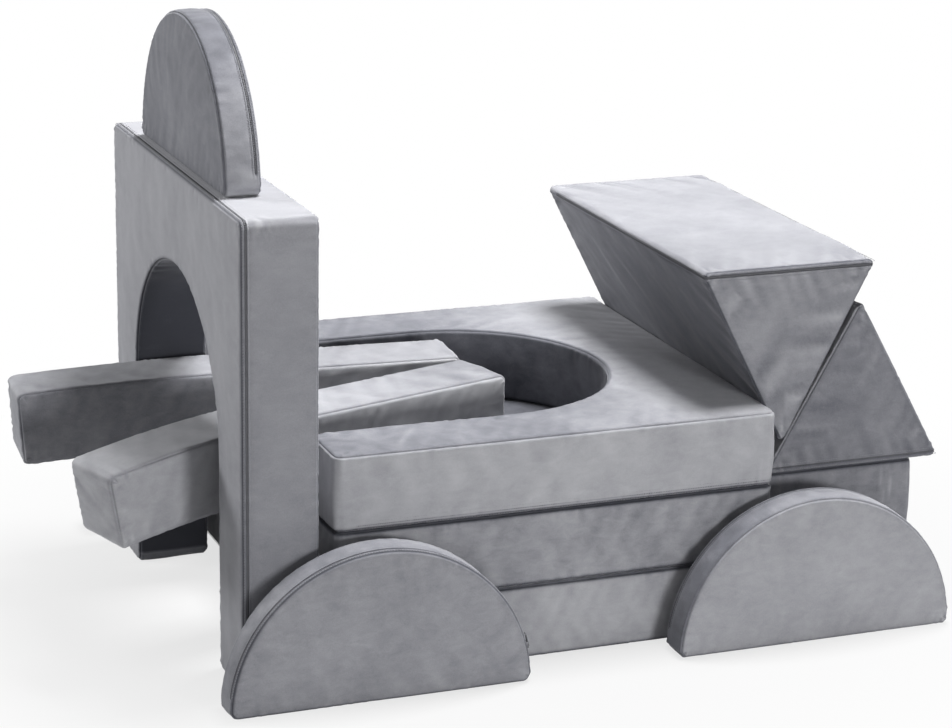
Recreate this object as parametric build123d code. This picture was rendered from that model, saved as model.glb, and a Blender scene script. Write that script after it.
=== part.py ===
from build123d import *
import math
import os

# A modular foam play sofa, stacked as a toy vehicle.
# Lengths are millimetres. X runs from the standing arch to the prisms, Y away from
# the near side, Z up. The origin is on the floor, under the middle of the base cushion.

# Foam shapes
thickness = 125.0
panel_side = 760.0
opening_radius = 250.0
opening_height = 600.0
disc_radius = 247.0
disc_thickness = 60.0
prism_length = 656.0
upper_prism_base = 317.0
upper_prism_height = 306.0
lower_prism_base = 326.0
lower_prism_height = 286.0
block_width = 286.0
block_length = 656.0
near_beam_length = 772.0
far_beam_length = 762.0
beam_width = 120.0

# Softness: how far the boxing draws in at the seams, and how round the seams are
draw_in = 2.0
seam_round = 9.0
corner_round = 16.0
disc_seam_round = 7.0
disc_corner_round = 14.0
prism_corner_round = 8.0
prism_seam_round = 6.0
beam_seam_round = 9.0
beam_end_round = 13.0

# Covers and what they hold
fabric = 2.0
foam_gap = 0.3

# Zips: a closed chain in a slit of the cover, set in from the seam
zip_offset = 6.0
zip_width = 6.0
zip_recess = 0.8
zip_gap = 0.15
zip_hinge = 34.0
zip_park = 70.0
disc_park_angle = 14.0

# Zip sliders
slider_length = 12.0
slider_width = 9.0
slider_height = 2.4
slider_gap = 0.3
keel_length = 8.0
keel_width = 3.6
bridge_length = 7.0
bridge_width = 3.0
bridge_height = 2.0
bridge_wall = 0.9
pull_length = 20.0
pull_width = 6.5
pull_thickness = 1.1
pull_hole_radius = 1.6
pull_lap = 3.0

# Places in the stack
arch_gap = 26.0
arch_shift = -6.0
crest_setback = 19.0
crest_shift = 6.0
front_wheel_x = -328.0
front_wheel_gap = 29.0
rear_wheel_x = 428.0
rear_wheel_gap = 23.0
block_gap = 3.0
prism_shift = -2.0
lower_prism_gap = 8.0
prism_clearance = 0.4
near_beam_end = (19.0, 10.0)
near_beam_yaw = 17.1
near_beam_droop = 31.0
far_beam_end = (6.0, 136.0)
far_beam_yaw = -4.2
far_beam_droop = 13.0

# One overrun serves all cutting tools
overrun = 20.0

# Heights of the layers
lower_level = 0.0
upper_level = lower_level + thickness
seat_level = upper_level + thickness
half_side = panel_side / 2


def bulged_profile(span, height, inset):
    """Section of a cushion: flat top and bottom, sides that draw in at the seams."""
    middle = span / 2 - inset
    edge = middle - draw_in
    low = inset
    high = height - inset
    centre = height / 2
    outline = [
        Line((-edge, low), (edge, low)),
        ThreePointArc((edge, low), (middle, centre), (edge, high)),
        Line((edge, high), (-edge, high)),
        ThreePointArc((-edge, high), (-middle, centre), (-edge, low)),
    ]
    face = make_face(outline)
    return fillet(face.vertices(), seam_round - inset)


def block_form(width, depth, height, inset):
    """A stuffed rectangular cushion on its base, taken in all round by inset."""
    across = extrude(Plane.YZ * bulged_profile(depth, height, inset), width, both=True)
    along = extrude(Plane.XZ * bulged_profile(width, height, inset), depth, both=True)
    plan = RectangleRounded(width - 2 * inset, depth - 2 * inset, corner_round - inset)
    upright = extrude(plan, height)
    return across & along & upright


def round_seams(solid, low_face, high_face, radius):
    """Round the two loops where the broad faces meet the boxing."""
    return fillet(low_face.edges() + high_face.edges(), radius)


def arch_form(inset):
    """The square panel with its arched opening, lying flat, feet towards -X."""
    half = half_side - inset
    reach = opening_radius + inset
    centre = opening_height - opening_radius - half_side
    legs = centre + half_side + overrun
    panel = Rectangle(2 * half, 2 * half)
    slot = Pos(centre - legs / 2, 0) * Rectangle(legs, 2 * reach)
    bend = Pos(centre, 0) * Circle(reach)
    plan = panel - slot - bend
    corners = [v for v in plan.vertices() if abs(abs(v.X) - half) < fabric]
    plan = fillet(corners, corner_round - inset)
    solid = Pos(0, 0, inset) * extrude(plan, thickness - 2 * inset)
    faces = solid.faces().sort_by(Axis.Z)
    return round_seams(solid, faces[0], faces[-1], seam_round - inset)


def half_disc_form(inset):
    """A half disc: base along X, crown towards +Y, thickness along Z."""
    radius = disc_radius - inset
    reach = math.sqrt(radius**2 - inset**2)
    outline = [
        Line((-reach, inset), (reach, inset)),
        ThreePointArc((reach, inset), (0, radius), (-reach, inset)),
    ]
    face = make_face(outline)
    face = fillet(face.vertices(), disc_corner_round - inset)
    solid = Pos(0, 0, inset) * extrude(face, disc_thickness - 2 * inset)
    faces = solid.faces().sort_by(Axis.Z)
    return round_seams(solid, faces[0], faces[-1], disc_seam_round - inset)


def lean(base, height):
    """Angle of a prism's slope from the upright, in radians."""
    return math.atan2(base / 2, height)


def prism_form(base, height, inset):
    """A triangular prism on its base, lying along Y."""
    tilt = lean(base, height)
    low = inset
    peak = height - inset / math.sin(tilt)
    reach = (peak - low) * math.tan(tilt)
    outline = Polyline((-reach, low), (reach, low), (0, peak), close=True)
    face = make_face(outline)
    face = fillet(face.vertices(), prism_corner_round - inset)
    solid = extrude(Plane.XZ * face, prism_length / 2 - inset, both=True)
    faces = solid.faces().sort_by(Axis.Y)
    return round_seams(solid, faces[0], faces[-1], prism_seam_round - inset)


def beam_straight(end, yaw):
    """Length of beam that lies on the cushion under it, before all of it overhangs."""
    heading = math.radians(abs(yaw))
    return (end[0] + half_side) / math.cos(heading) + beam_width / 2 * math.tan(heading)


def beam_form(length, straight, droop, inset):
    """A square beam along +X from its end at the origin, drooping past its support."""
    free = length - straight
    bend_radius = free**2 / (2 * droop)
    middle = thickness / 2
    hub_z = middle - bend_radius
    turn = (free - inset) / bend_radius
    upper = middle - inset
    lower = inset - middle

    def on_bend(offset, angle):
        radius = bend_radius + offset
        return straight + radius * math.sin(angle), hub_z + radius * math.cos(angle)

    top = middle + upper
    base = middle + lower
    outline = [
        Line((inset, base), (straight, base)),
        ThreePointArc(on_bend(lower, 0), on_bend(lower, turn / 2), on_bend(lower, turn)),
        Line(on_bend(lower, turn), on_bend(upper, turn)),
        ThreePointArc(on_bend(upper, turn), on_bend(upper, turn / 2), on_bend(upper, 0)),
        Line((straight, top), (inset, top)),
        Line((inset, top), (inset, base)),
    ]
    side = make_face(outline)
    corners = [v for v in side.vertices() if abs(v.X - straight) > fabric]
    side = fillet(corners, beam_end_round - inset)
    solid = extrude(Plane.XZ * side, beam_width / 2 - inset, both=True)
    faces = solid.faces().sort_by(Axis.Y)
    return round_seams(solid, faces[0], faces[-1], beam_seam_round - inset)


def flat_box(low, high):
    """A box from its lowest to its highest corner."""
    size = [b - a for a, b in zip(low, high)]
    middle = [(a + b) / 2 for a, b in zip(low, high)]
    return Pos(*middle) * Box(*size)


def grown_slit(low, high):
    """The same box with the zip's side clearance added above and below."""
    return (low[0], low[1], low[2] - zip_gap), (high[0], high[1], high[2] + zip_gap)


def slit_boxes(pieces, spare):
    """Union of the boxes that hold a zip, with or without the side clearance."""
    result = None
    for low, high in pieces:
        if spare:
            low, high = grown_slit(low, high)
        box = flat_box(low, high)
        result = box if result is None else result + box
    return result


def zip_slider():
    """Slider on a zip along X, fabric at Z 0: body, keel, bridge and pull tab."""
    base = slider_gap
    top = base + slider_height
    body = Pos(0, 0, base) * extrude(
        RectangleRounded(slider_length, slider_width, slider_width / 3), slider_height
    )
    keel_depth = base + zip_recess - zip_gap
    keel = Pos(0, 0, base - keel_depth / 2) * Box(keel_length, keel_width, keel_depth)
    bridge = Pos(0, 0, top + bridge_height / 2) * Box(
        bridge_length, bridge_width, bridge_height
    )
    eye = Pos(0, 0, top + (bridge_height - bridge_wall) / 2) * Box(
        bridge_length - 2 * bridge_wall, bridge_width + overrun, bridge_height - bridge_wall
    )
    pull_middle = bridge_length / 2 - pull_lap + pull_length / 2
    pull = Pos(pull_middle, 0, top) * extrude(
        SlotOverall(pull_length, pull_width), pull_thickness
    )
    hole = Pos(pull_middle + pull_length / 2 - pull_width / 2, 0, top) * Cylinder(
        pull_hole_radius, overrun
    )
    return body + keel + (bridge - eye) + (pull - hole)


def fill_cover(form, slits):
    """Cover, foam core and zip chain of one cushion, in the cushion's own frame."""
    lining = form(fabric)
    cover = form(0) - lining - slit_boxes(slits, True)
    foam = form(fabric + foam_gap)
    chain = (form(zip_recess) - lining) & slit_boxes(slits, False)
    return cover, foam, chain


def three_side_slit(width, depth, height_of_zip):
    """Zip round the -X, +Y and +X sides of a rectangular cushion."""
    reach_x = width / 2 + overrun
    reach_y = depth / 2 + overrun
    low = (-reach_x, -depth / 2 + zip_hinge, height_of_zip)
    high = (reach_x, reach_y, height_of_zip + zip_width)
    return [(low, high)]


def arch_slit():
    """Zip round the two flanks and the head of the arch, near its upper face."""
    reach = half_side + overrun
    # Half the walls beside the opening and over it, where the boxes end
    rim = (half_side - opening_radius) / 2
    crown = (panel_side - opening_height) / 2
    low_z = thickness - zip_offset - zip_width
    high_z = thickness - zip_offset
    foot = zip_hinge - half_side
    right = ((foot, half_side - rim, low_z), (reach, reach, high_z))
    left = ((foot, -reach, low_z), (reach, rim - half_side, high_z))
    head = ((half_side - crown, -reach, low_z), (reach, reach, high_z))
    return [right, left, head]


def disc_slit():
    """Zip round the arc of a half disc, near its upper face."""
    reach = disc_radius + overrun
    low_z = disc_thickness - zip_offset - zip_width
    return [((-reach, zip_hinge, low_z), (reach, reach, low_z + zip_width))]


def prism_slit(base):
    """Zip round the base of a prism, all but its +Y end."""
    reach = base / 2 + overrun
    end = prism_length / 2
    low = (-reach, -end - overrun, zip_offset)
    return [(low, (reach, end - zip_hinge, zip_offset + zip_width))]


def beam_slit(straight):
    """Zip along the -Y side of a beam, where it is straight."""
    side = beam_width / 2
    low = (zip_hinge, -side - overrun, zip_offset)
    return [(low, (straight - zip_hinge, -side + overrun, zip_offset + zip_width))]


def side_at(height, level):
    """How far a bulged side has drawn in at a level, by its arc's sagitta."""
    share = (level - height / 2) / (height / 2)
    return draw_in * share**2


def seat_upper_prism():
    """Where the upper prism's peak comes to rest, between the seat and the lower prism."""
    upper = lean(upper_prism_base, upper_prism_height)
    lower = lean(lower_prism_base, lower_prism_height)
    # Centre of the seat cushion's rounded edge, by the prism
    edge_x = half_side - seam_round
    edge_z = seat_level + thickness - seam_round
    foot_x = half_side + lower_prism_gap
    foot_z = seat_level
    on_edge = seam_round + prism_clearance
    on_edge += edge_x * math.cos(upper) + edge_z * math.sin(upper)
    on_slope = prism_corner_round + prism_clearance
    on_slope += foot_z * math.sin(lower) - foot_x * math.cos(lower)
    on_slope -= prism_corner_round * math.sin(lower) / math.sin(upper)
    # on_edge = x cos(upper) + z sin(upper), on_slope = z sin(lower) - x cos(lower)
    spread = math.sin(upper + lower)
    z = (on_edge * math.cos(lower) + on_slope * math.cos(upper)) / spread
    x = (on_edge * math.sin(lower) - on_slope * math.sin(upper)) / spread
    return x, z


# Frames: each cushion's own X and Z axes, as they stand in the stack
def stand(origin, x_dir, z_dir):
    return Plane(origin=origin, x_dir=x_dir, z_dir=z_dir)


cushions = {}
sliders = {}


def add_cushion(name, built, place, slider_plane):
    """Put one cushion's cover, foam, zip chain and slider in their places."""
    cover, foam, chain = built
    cushions[name + "_cover"] = place.location * cover
    cushions[name + "_foam"] = place.location * foam
    cushions[name + "_zip"] = place.location * chain
    cushions[name + "_zip_slider"] = place.location * slider_plane.location * zip_slider()
    sliders[name] = place.location * slider_plane.location


# Where each kind of cushion has its slider, in the cushion's own frame
def block_slider(width, depth, side_y, zip_level):
    level = zip_level + zip_width / 2
    edge = depth / 2 - side_at(thickness, level)
    start = width / 2 - zip_park
    return stand((start, side_y * edge, level), (side_y, 0, 0), (0, side_y, 0))


def arch_slider(side_y):
    level = thickness - zip_offset - zip_width / 2
    start = zip_park - half_side
    return stand((start, side_y * half_side, level), (1, 0, 0), (0, side_y, 0))


def disc_slider(side_x):
    level = disc_thickness - zip_offset - zip_width / 2
    angle = math.radians(disc_park_angle)
    outward = (side_x * math.cos(angle), math.sin(angle), 0)
    along = (-side_x * math.sin(angle), math.cos(angle), 0)
    origin = (disc_radius * outward[0], disc_radius * outward[1], level)
    return stand(origin, along, outward)


def prism_slider(base, height, side_x):
    level = zip_offset + zip_width / 2
    tilt = lean(base, height)
    reach = base / 2 - level * math.tan(tilt)
    outward = (side_x * math.cos(tilt), 0, math.sin(tilt))
    start = zip_park - prism_length / 2
    return stand((side_x * reach, start, level), (0, 1, 0), outward)


def beam_slider():
    level = zip_offset + zip_width / 2
    return stand((zip_park, -beam_width / 2, level), (1, 0, 0), (0, -1, 0))


# Base: two square cushions, one on the other
panel = fill_cover(
    lambda inset: block_form(panel_side, panel_side, thickness, inset),
    three_side_slit(panel_side, panel_side, zip_offset),
)
panel_slider = block_slider(panel_side, panel_side, 1, zip_offset)
lower_place = stand((0, 0, lower_level), (1, 0, 0), (0, 0, 1))
upper_place = stand((0, 0, upper_level), (1, 0, 0), (0, 0, 1))
add_cushion("lower_base", panel, lower_place, panel_slider)
add_cushion("upper_base", panel, upper_place, panel_slider)

# Seat: an arch panel lying on the base, its zip face down
arch = fill_cover(arch_form, arch_slit())
seat_place = stand((0, 0, seat_level + thickness), (1, 0, 0), (0, 0, -1))
add_cushion("seat_arch", arch, seat_place, arch_slider(-1))

# Standing arch, its zip face to the front, and the crest on its head
arch_back = -half_side - arch_gap
arch_place = stand((arch_back, arch_shift, half_side), (0, 0, 1), (-1, 0, 0))
add_cushion("standing_arch", arch, arch_place, arch_slider(1))

half_disc = fill_cover(half_disc_form, disc_slit())
crest_front = arch_back - thickness + crest_setback
crest_place = stand((crest_front, crest_shift, panel_side), (0, 1, 0), (1, 0, 0))
add_cushion("crest_half_disc", half_disc, crest_place, disc_slider(1))

# Wheels: half discs on edge beside the base, a pair on each side
front_back = half_side + front_wheel_gap
rear_back = half_side + rear_wheel_gap
wheels = {
    "front_near_wheel": stand((front_wheel_x, -front_back, 0), (1, 0, 0), (0, -1, 0)),
    "rear_near_wheel": stand(
        (rear_wheel_x, -rear_back - disc_thickness, 0), (-1, 0, 0), (0, 1, 0)
    ),
    "front_far_wheel": stand((front_wheel_x, front_back, 0), (-1, 0, 0), (0, 1, 0)),
    "rear_far_wheel": stand(
        (rear_wheel_x, rear_back + disc_thickness, 0), (1, 0, 0), (0, -1, 0)
    ),
}
wheel_park_side = {
    "front_near_wheel": 1,
    "rear_near_wheel": -1,
    "front_far_wheel": -1,
    "rear_far_wheel": 1,
}
for name, place in wheels.items():
    add_cushion(name, half_disc, place, disc_slider(wheel_park_side[name]))

# Beams through the arch, lying on the base inside the seat's opening
beams = {
    "near_beam": (near_beam_length, near_beam_end, near_beam_yaw, near_beam_droop),
    "far_beam": (far_beam_length, far_beam_end, far_beam_yaw, far_beam_droop),
}
for name, (length, end, yaw, droop) in beams.items():
    straight = beam_straight(end, yaw)
    beam = lambda inset, n=length, s=straight, d=droop: beam_form(n, s, d, inset)
    built = fill_cover(beam, beam_slit(straight))
    heading = math.radians(yaw)
    outward = (-math.cos(heading), -math.sin(heading), 0)
    place = stand((end[0], end[1], seat_level), outward, (0, 0, 1))
    add_cushion(name, built, place, beam_slider())

# Blocks behind the base, and the prisms on them
block = fill_cover(
    lambda inset: block_form(block_width, block_length, thickness, inset),
    three_side_slit(block_width, block_length, zip_offset),
)
block_slide = block_slider(block_width, block_length, 1, zip_offset)
block_x = half_side + block_gap + block_width / 2
low_block_place = stand((block_x, prism_shift, lower_level), (1, 0, 0), (0, 0, 1))
high_block_place = stand((block_x, prism_shift, upper_level), (1, 0, 0), (0, 0, 1))
add_cushion("lower_block", block, low_block_place, block_slide)
add_cushion("upper_block", block, high_block_place, block_slide)

low_prism = fill_cover(
    lambda inset: prism_form(lower_prism_base, lower_prism_height, inset),
    prism_slit(lower_prism_base),
)
low_prism_x = half_side + lower_prism_gap + lower_prism_base / 2
low_prism_place = stand((low_prism_x, prism_shift, seat_level), (1, 0, 0), (0, 0, 1))
low_prism_slider = prism_slider(lower_prism_base, lower_prism_height, 1)
add_cushion("lower_prism", low_prism, low_prism_place, low_prism_slider)

high_prism = fill_cover(
    lambda inset: prism_form(upper_prism_base, upper_prism_height, inset),
    prism_slit(upper_prism_base),
)
peak_x, peak_z = seat_upper_prism()
high_prism_top = (peak_x, prism_shift, peak_z + upper_prism_height)
high_prism_place = stand(high_prism_top, (-1, 0, 0), (0, 0, -1))
high_prism_slider = prism_slider(upper_prism_base, upper_prism_height, -1)
add_cushion("upper_prism", high_prism, high_prism_place, high_prism_slider)

os.makedirs("parts", exist_ok=True)
for name, shape in cushions.items():
    solids = shape.solids()
    shape = solids[0] if len(solids) == 1 else Compound(children=list(solids))
    export_step(shape, "parts/" + name + ".step")

for name, place in sliders.items():
    plane = Plane(place)
    along = [round(v, 4) for v in plane.x_dir]
    print(name, "slider at", [round(v, 2) for v in plane.origin], "along", along)
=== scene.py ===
import math
from dataclasses import dataclass
from functools import cache

import bpy
import numpy as np
from bpy.props import FloatProperty, FloatVectorProperty, IntProperty, PointerProperty
from mathutils import Matrix, Vector, kdtree
from mathutils.geometry import delaunay_2d_cdt


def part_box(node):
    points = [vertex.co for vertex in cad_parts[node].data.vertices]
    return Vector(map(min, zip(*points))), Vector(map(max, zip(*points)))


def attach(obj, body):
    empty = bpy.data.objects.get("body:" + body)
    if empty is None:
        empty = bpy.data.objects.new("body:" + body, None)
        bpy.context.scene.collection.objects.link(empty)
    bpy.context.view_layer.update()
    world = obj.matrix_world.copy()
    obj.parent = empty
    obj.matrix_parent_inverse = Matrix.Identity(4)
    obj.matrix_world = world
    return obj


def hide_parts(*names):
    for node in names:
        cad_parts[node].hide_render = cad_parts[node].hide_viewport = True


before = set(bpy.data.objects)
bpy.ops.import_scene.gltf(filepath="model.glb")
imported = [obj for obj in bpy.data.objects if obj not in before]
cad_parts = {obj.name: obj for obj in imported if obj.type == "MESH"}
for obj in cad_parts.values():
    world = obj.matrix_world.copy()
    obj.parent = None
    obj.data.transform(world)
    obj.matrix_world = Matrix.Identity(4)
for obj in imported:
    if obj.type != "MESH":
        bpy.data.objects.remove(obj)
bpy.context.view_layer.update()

bl_info = {
    "name": "Modular Foam Play Sofa",
    "version": (1, 0, 0),
    "blender": (4, 5, 0),
    "location": "3D View > Sidebar > Play Sofa",
    "description": "Velvet covers, foam cores, zips and stage of a play sofa stacked as a vehicle",
    "category": "Object",
}

panel_low, panel_high = (Vector(corner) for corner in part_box("lower_base_cover"))
disc_low, disc_high = (Vector(corner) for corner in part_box("front_near_wheel_cover"))
block_low, block_high = (Vector(corner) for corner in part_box("lower_block_cover"))


def amount(name, description, default, **limits):
    """A number that the user can change."""
    return FloatProperty(name=name, description=description, default=default, **limits)


def length(name, description, default):
    """A length that the user can change, in metres."""
    return amount(name, description, default, min=0.0, precision=4, unit="LENGTH")


def share(name, description, default):
    """A share between 0 and 1 that the user can change."""
    return amount(name, description, default, min=0.0, max=1.0, subtype="FACTOR")


def vector(name, description, default, **limits):
    """A place, a turn or another row of numbers that the user can change."""
    return FloatVectorProperty(name=name, description=description, default=default,
                               size=len(default), **limits)


def colour(name, description, default):
    """A linear colour that the user can change."""
    return vector(name, description, default, subtype="COLOR", min=0.0, max=1.0)


class CushionSizes(bpy.types.PropertyGroup):
    """Sizes of the foam shapes and how finely their covers are meshed."""

    panel_side: length("Panel side", "Side of the square panels", panel_high.x - panel_low.x)
    thickness: length("Thickness", "Thickness of panels and blocks", panel_high.z - panel_low.z)
    opening_radius: length("Opening radius", "Radius of the arch's opening", 0.250)
    opening_height: length("Opening height", "From the arch's feet to its crown", 0.600)
    disc_radius: length("Half disc radius", "Radius of wheels and crest", disc_high.z - disc_low.z)
    disc_thickness: length("Half disc thickness", "Thickness of wheels and crest",
                           disc_high.y - disc_low.y)
    prism_length: length("Prism length", "Length of both prisms", 0.656)
    upper_prism_base: length("Upper prism base", "Width of the upper prism's base", 0.317)
    upper_prism_height: length("Upper prism height", "Height of the upper prism", 0.306)
    lower_prism_base: length("Lower prism base", "Width of the lower prism's base", 0.326)
    lower_prism_height: length("Lower prism height", "Height of the lower prism", 0.286)
    block_width: length("Block width", "Width of the blocks", block_high.x - block_low.x)
    block_length: length("Block length", "Length of the blocks", block_high.y - block_low.y)
    near_beam_length: length("Near beam length", "Length of the near beam", 0.772)
    far_beam_length: length("Far beam length", "Length of the far beam", 0.762)
    beam_width: length("Beam width", "Width of the beams", 0.120)
    mesh_step: length("Mesh step", "Spacing of the covers' mesh", 0.0058)
    core_inset: length("Core inset", "How far the foam lies inside its cover", 0.0045)


class BeamPlaces(bpy.types.PropertyGroup):
    """Where the two beams lie on the base, and how far they droop past it."""

    near_end: vector("Near beam end", "Middle of its inner end", (0.019, 0.010), unit="LENGTH")
    near_yaw: amount("Near beam turn", "Turn from the X axis", math.radians(17.1),
                     subtype="ANGLE")
    near_droop: length("Near beam droop", "Drop of its free end", 0.031)
    far_end: vector("Far beam end", "Middle of its inner end", (0.006, 0.136), unit="LENGTH")
    far_yaw: amount("Far beam turn", "Turn from the X axis", math.radians(-4.2), subtype="ANGLE")
    far_droop: length("Far beam droop", "Drop of its free end", 0.013)


class SeamLook(bpy.types.PropertyGroup):
    """How the covers' seams, puckers and stuffing show."""

    panel_round: length("Panel seam radius", "Roundness of the panels' edges", 0.009)
    disc_round: length("Half disc seam radius", "Roundness of the half discs' edges", 0.007)
    prism_round: length("Prism seam radius", "Roundness of the prisms' ends", 0.0048)
    draw_in: length("Draw-in", "How far the sides draw in at the seams", 0.002)
    seam_depth: length("Seam depth", "Depth of the seam line", 0.0014)
    seam_width: length("Seam width", "Half width of the seam line", 0.0013)
    seam_ridge: length("Seam ridge", "Height of the allowance beside the seam", 0.00018)
    pucker_height: length("Pucker height", "Height of the puckers along a seam", 0.00055)
    pucker_pitch: length("Pucker pitch", "Spacing of the puckers along a seam", 0.015)
    pucker_reach: length("Pucker reach", "How far a pucker runs into the face", 0.020)
    corner_reach: length("Corner reach", "How far a corner's puckers are stronger", 0.034)
    fold_pitch: length("Fold pitch", "From one loose fold to the next", 0.040)
    fold_reach: length("Fold reach", "How far loose folds run from a seam", 0.060)
    fold_height: length("Fold height", "Height of the loosest folds", 0.0016)
    crown: length("Crown", "Rise of a free face's middle", 0.0035)
    crown_reach: length("Crown reach", "From a seam to where a free face has risen", 0.075)
    slackness: length("Slackness", "Unevenness of the stretched cover", 0.0011)
    taut_reach: length("Taut reach", "How far the cover is held even by a seam", 0.012)


class ZipLook(bpy.types.PropertyGroup):
    """Sizes of the zips sewn into the covers."""

    offset: length("Zip offset", "Middle of the zip from the cushion's face", 0.009)
    hinge: length("Zip end", "Where a zip ends before the uncut side", 0.034)
    band: length("Band", "Half width of the sewn band round a zip", 0.0085)
    slot_depth: length("Slot depth", "Depth of the gap between the zip's lips", 0.0024)
    slot_width: length("Slot width", "Width of the gap between the zip's lips", 0.0036)
    lip_height: length("Lip height", "Rise of the folded lips", 0.0007)
    lip_offset: length("Lip offset", "Middle of a lip from the zip's middle", 0.0032)
    stitch_offset: length("Topstitch offset", "Topstitching from the zip's middle", 0.0054)
    stitch_dip: length("Topstitch dip", "How deep the topstitching pulls the cover", 0.0005)
    tooth_pitch: length("Tooth pitch", "Spacing of the coil's turns", 0.0030)
    tooth_width: length("Tooth width", "Width of the coil", 0.0036)
    tape_width: length("Tape width", "Width of the tape that shows", 0.0056)
    stitch_pitch: length("Stitch pitch", "Spacing of the topstitches", 0.0045)
    stitch_length: length("Stitch length", "Length of one topstitch", 0.0031)
    thread: length("Thread", "Thickness of the topstitching thread", 0.0009)
    seed: IntProperty(name="Seed", description="Seed of the stitches' small turns", default=7)


class VelvetLook(bpy.types.PropertyGroup):
    """Colours of the velvet, foam and metal."""

    pile: colour("Pile", "Velvet seen along its pile", (0.300, 0.302, 0.325))
    # Lighter pile, used both for the pile's random blotches and as painted light
    pile_light: colour("Brushed pile", "Velvet brushed towards the light", (0.440, 0.443, 0.465))
    # Darker pile, used both for the pile's random blotches and as painted shade
    pile_dark: colour("Shaded pile", "Velvet brushed away from the light", (0.140, 0.143, 0.164))
    # Painted deep shade, for shadowed hollows and faces such as the arch's opening and the upper
    # base's top
    pile_deep: colour("Deep pile", "Velvet seen against its pile", (0.045, 0.047, 0.058))
    sheen: share("Sheen", "Weight of the pile's sheen", 0.45)
    foam: colour("Foam", "Cut foam", (0.78, 0.74, 0.62))
    thread: colour("Thread", "Topstitching thread", (0.20, 0.20, 0.22))
    coil: colour("Coil", "Zip coil and tape", (0.060, 0.061, 0.068))
    slider: colour("Slider", "Enamelled zip slider", (0.105, 0.107, 0.115))


class StageLook(bpy.types.PropertyGroup):
    """Camera, lamps and floor."""

    focal_length: amount("Focal length", "Lens in millimetres", 108.359, min=1.0)
    camera_place: vector("Camera place", "Where it stands", (-1.70183, -4.34953, 1.76765),
                         subtype="TRANSLATION", unit="LENGTH")
    camera_turn: vector("Camera turn", "Its rotation",
                        tuple(math.radians(a) for a in (73.48809, -0.95348, -21.07186)),
                        subtype="EULER")
    floor_side: length("Floor side", "Side of the floor", 14.0)
    floor: colour("Floor", "Pale floor", (0.45, 0.45, 0.45))
    floor_white: share("Floor white", "How much the floor by the cushions is lifted to white", 0.72)
    sky: amount("Sky", "Strength of the even light", 0.17, min=0.0)
    top_light: amount("Top light", "Watts of the lamp above", 190.0, min=0.0)
    front_light: amount("Front light", "Watts of the lamp at the front", 105.0, min=0.0)
    left_light: amount("Left light", "Watts of the lamp on the left", 105.0, min=0.0)


def settings():
    return bpy.context.scene.play_sofa


@dataclass
class Cushion:
    """One cushion: its shape, how it stands in the stack and how its cover looks."""

    name: str
    kind: str
    seed: int
    # Its own frame, save for a beam: the origin as shares of its box, and the ways of X and Z
    origin: tuple = (0.5, 0.5, 0.0)
    x_way: tuple = (1, 0, 0)
    z_way: tuple = (0, 0, 1)
    # Whether the low and the high face have room to bulge
    free: tuple = (True, True)
    # How the tone of the low face, the boxing and the high face changes, partly the pile's own tone
    # and partly painted light and shade: dark below 0, light above
    lies: tuple = (0.0, 0.0, 0.0)
    # Sides given painted light and shade, partly the pile's own tone: direction, and how much more
    side_lies: tuple = ()
    # Ramps of painted light and shade: zone, how much lighter it gets per metre, and the least of
    # it
    ramps: tuple = ()
    # How strongly the pile is blotched, and how much painted shade darkens a seam's line (below 0
    # it is painted light)
    play: float = 0.9
    seam_tint: float = 0.3
    # How far the zip's lips stand apart, with more painted shade in a wider slot, and how loosely
    # the cover sits, from 0 to 1
    zip_open: float = 0.4
    loose: float = 0.3
    # Creases that the photograph shows: start, end, height and width
    folds: tuple = ()
    # Gathers at corners: centre, direction across the ridges, pitch, height and reach
    gathers: tuple = ()

    @property
    def family(self):
        """Its kind, but the same for both prisms and for both beams."""
        return self.kind.split("_")[-1]

    def place(self):
        """Its frame in the stack."""
        if self.family == "beam":
            return beam_place(self.kind)[0]
        low, high = np.array(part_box(self.name + "_cover"))
        place = stand(low + (high - low) * self.origin, self.x_way, self.z_way)
        if self.family == "prism":
            place = laid_across(place, settings().sizes.prism_length)
        return place


# How a half disc lies with its high face to the near side or to the far side
near_side = dict(origin=(0.5, 1.0, 0.0), z_way=(0, -1, 0))
far_side = dict(origin=(0.5, 0.0, 0.0), x_way=(-1, 0, 0), z_way=(0, 1, 0))

# The tones below carry painted light and shade: painted shadow on the upper base's top and on the
# beams beside the standing arch, a lighter standing arch top, a lightened shadow of the upper prism
# on the seat, and a darker lower end of the upper prism's slope
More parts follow.
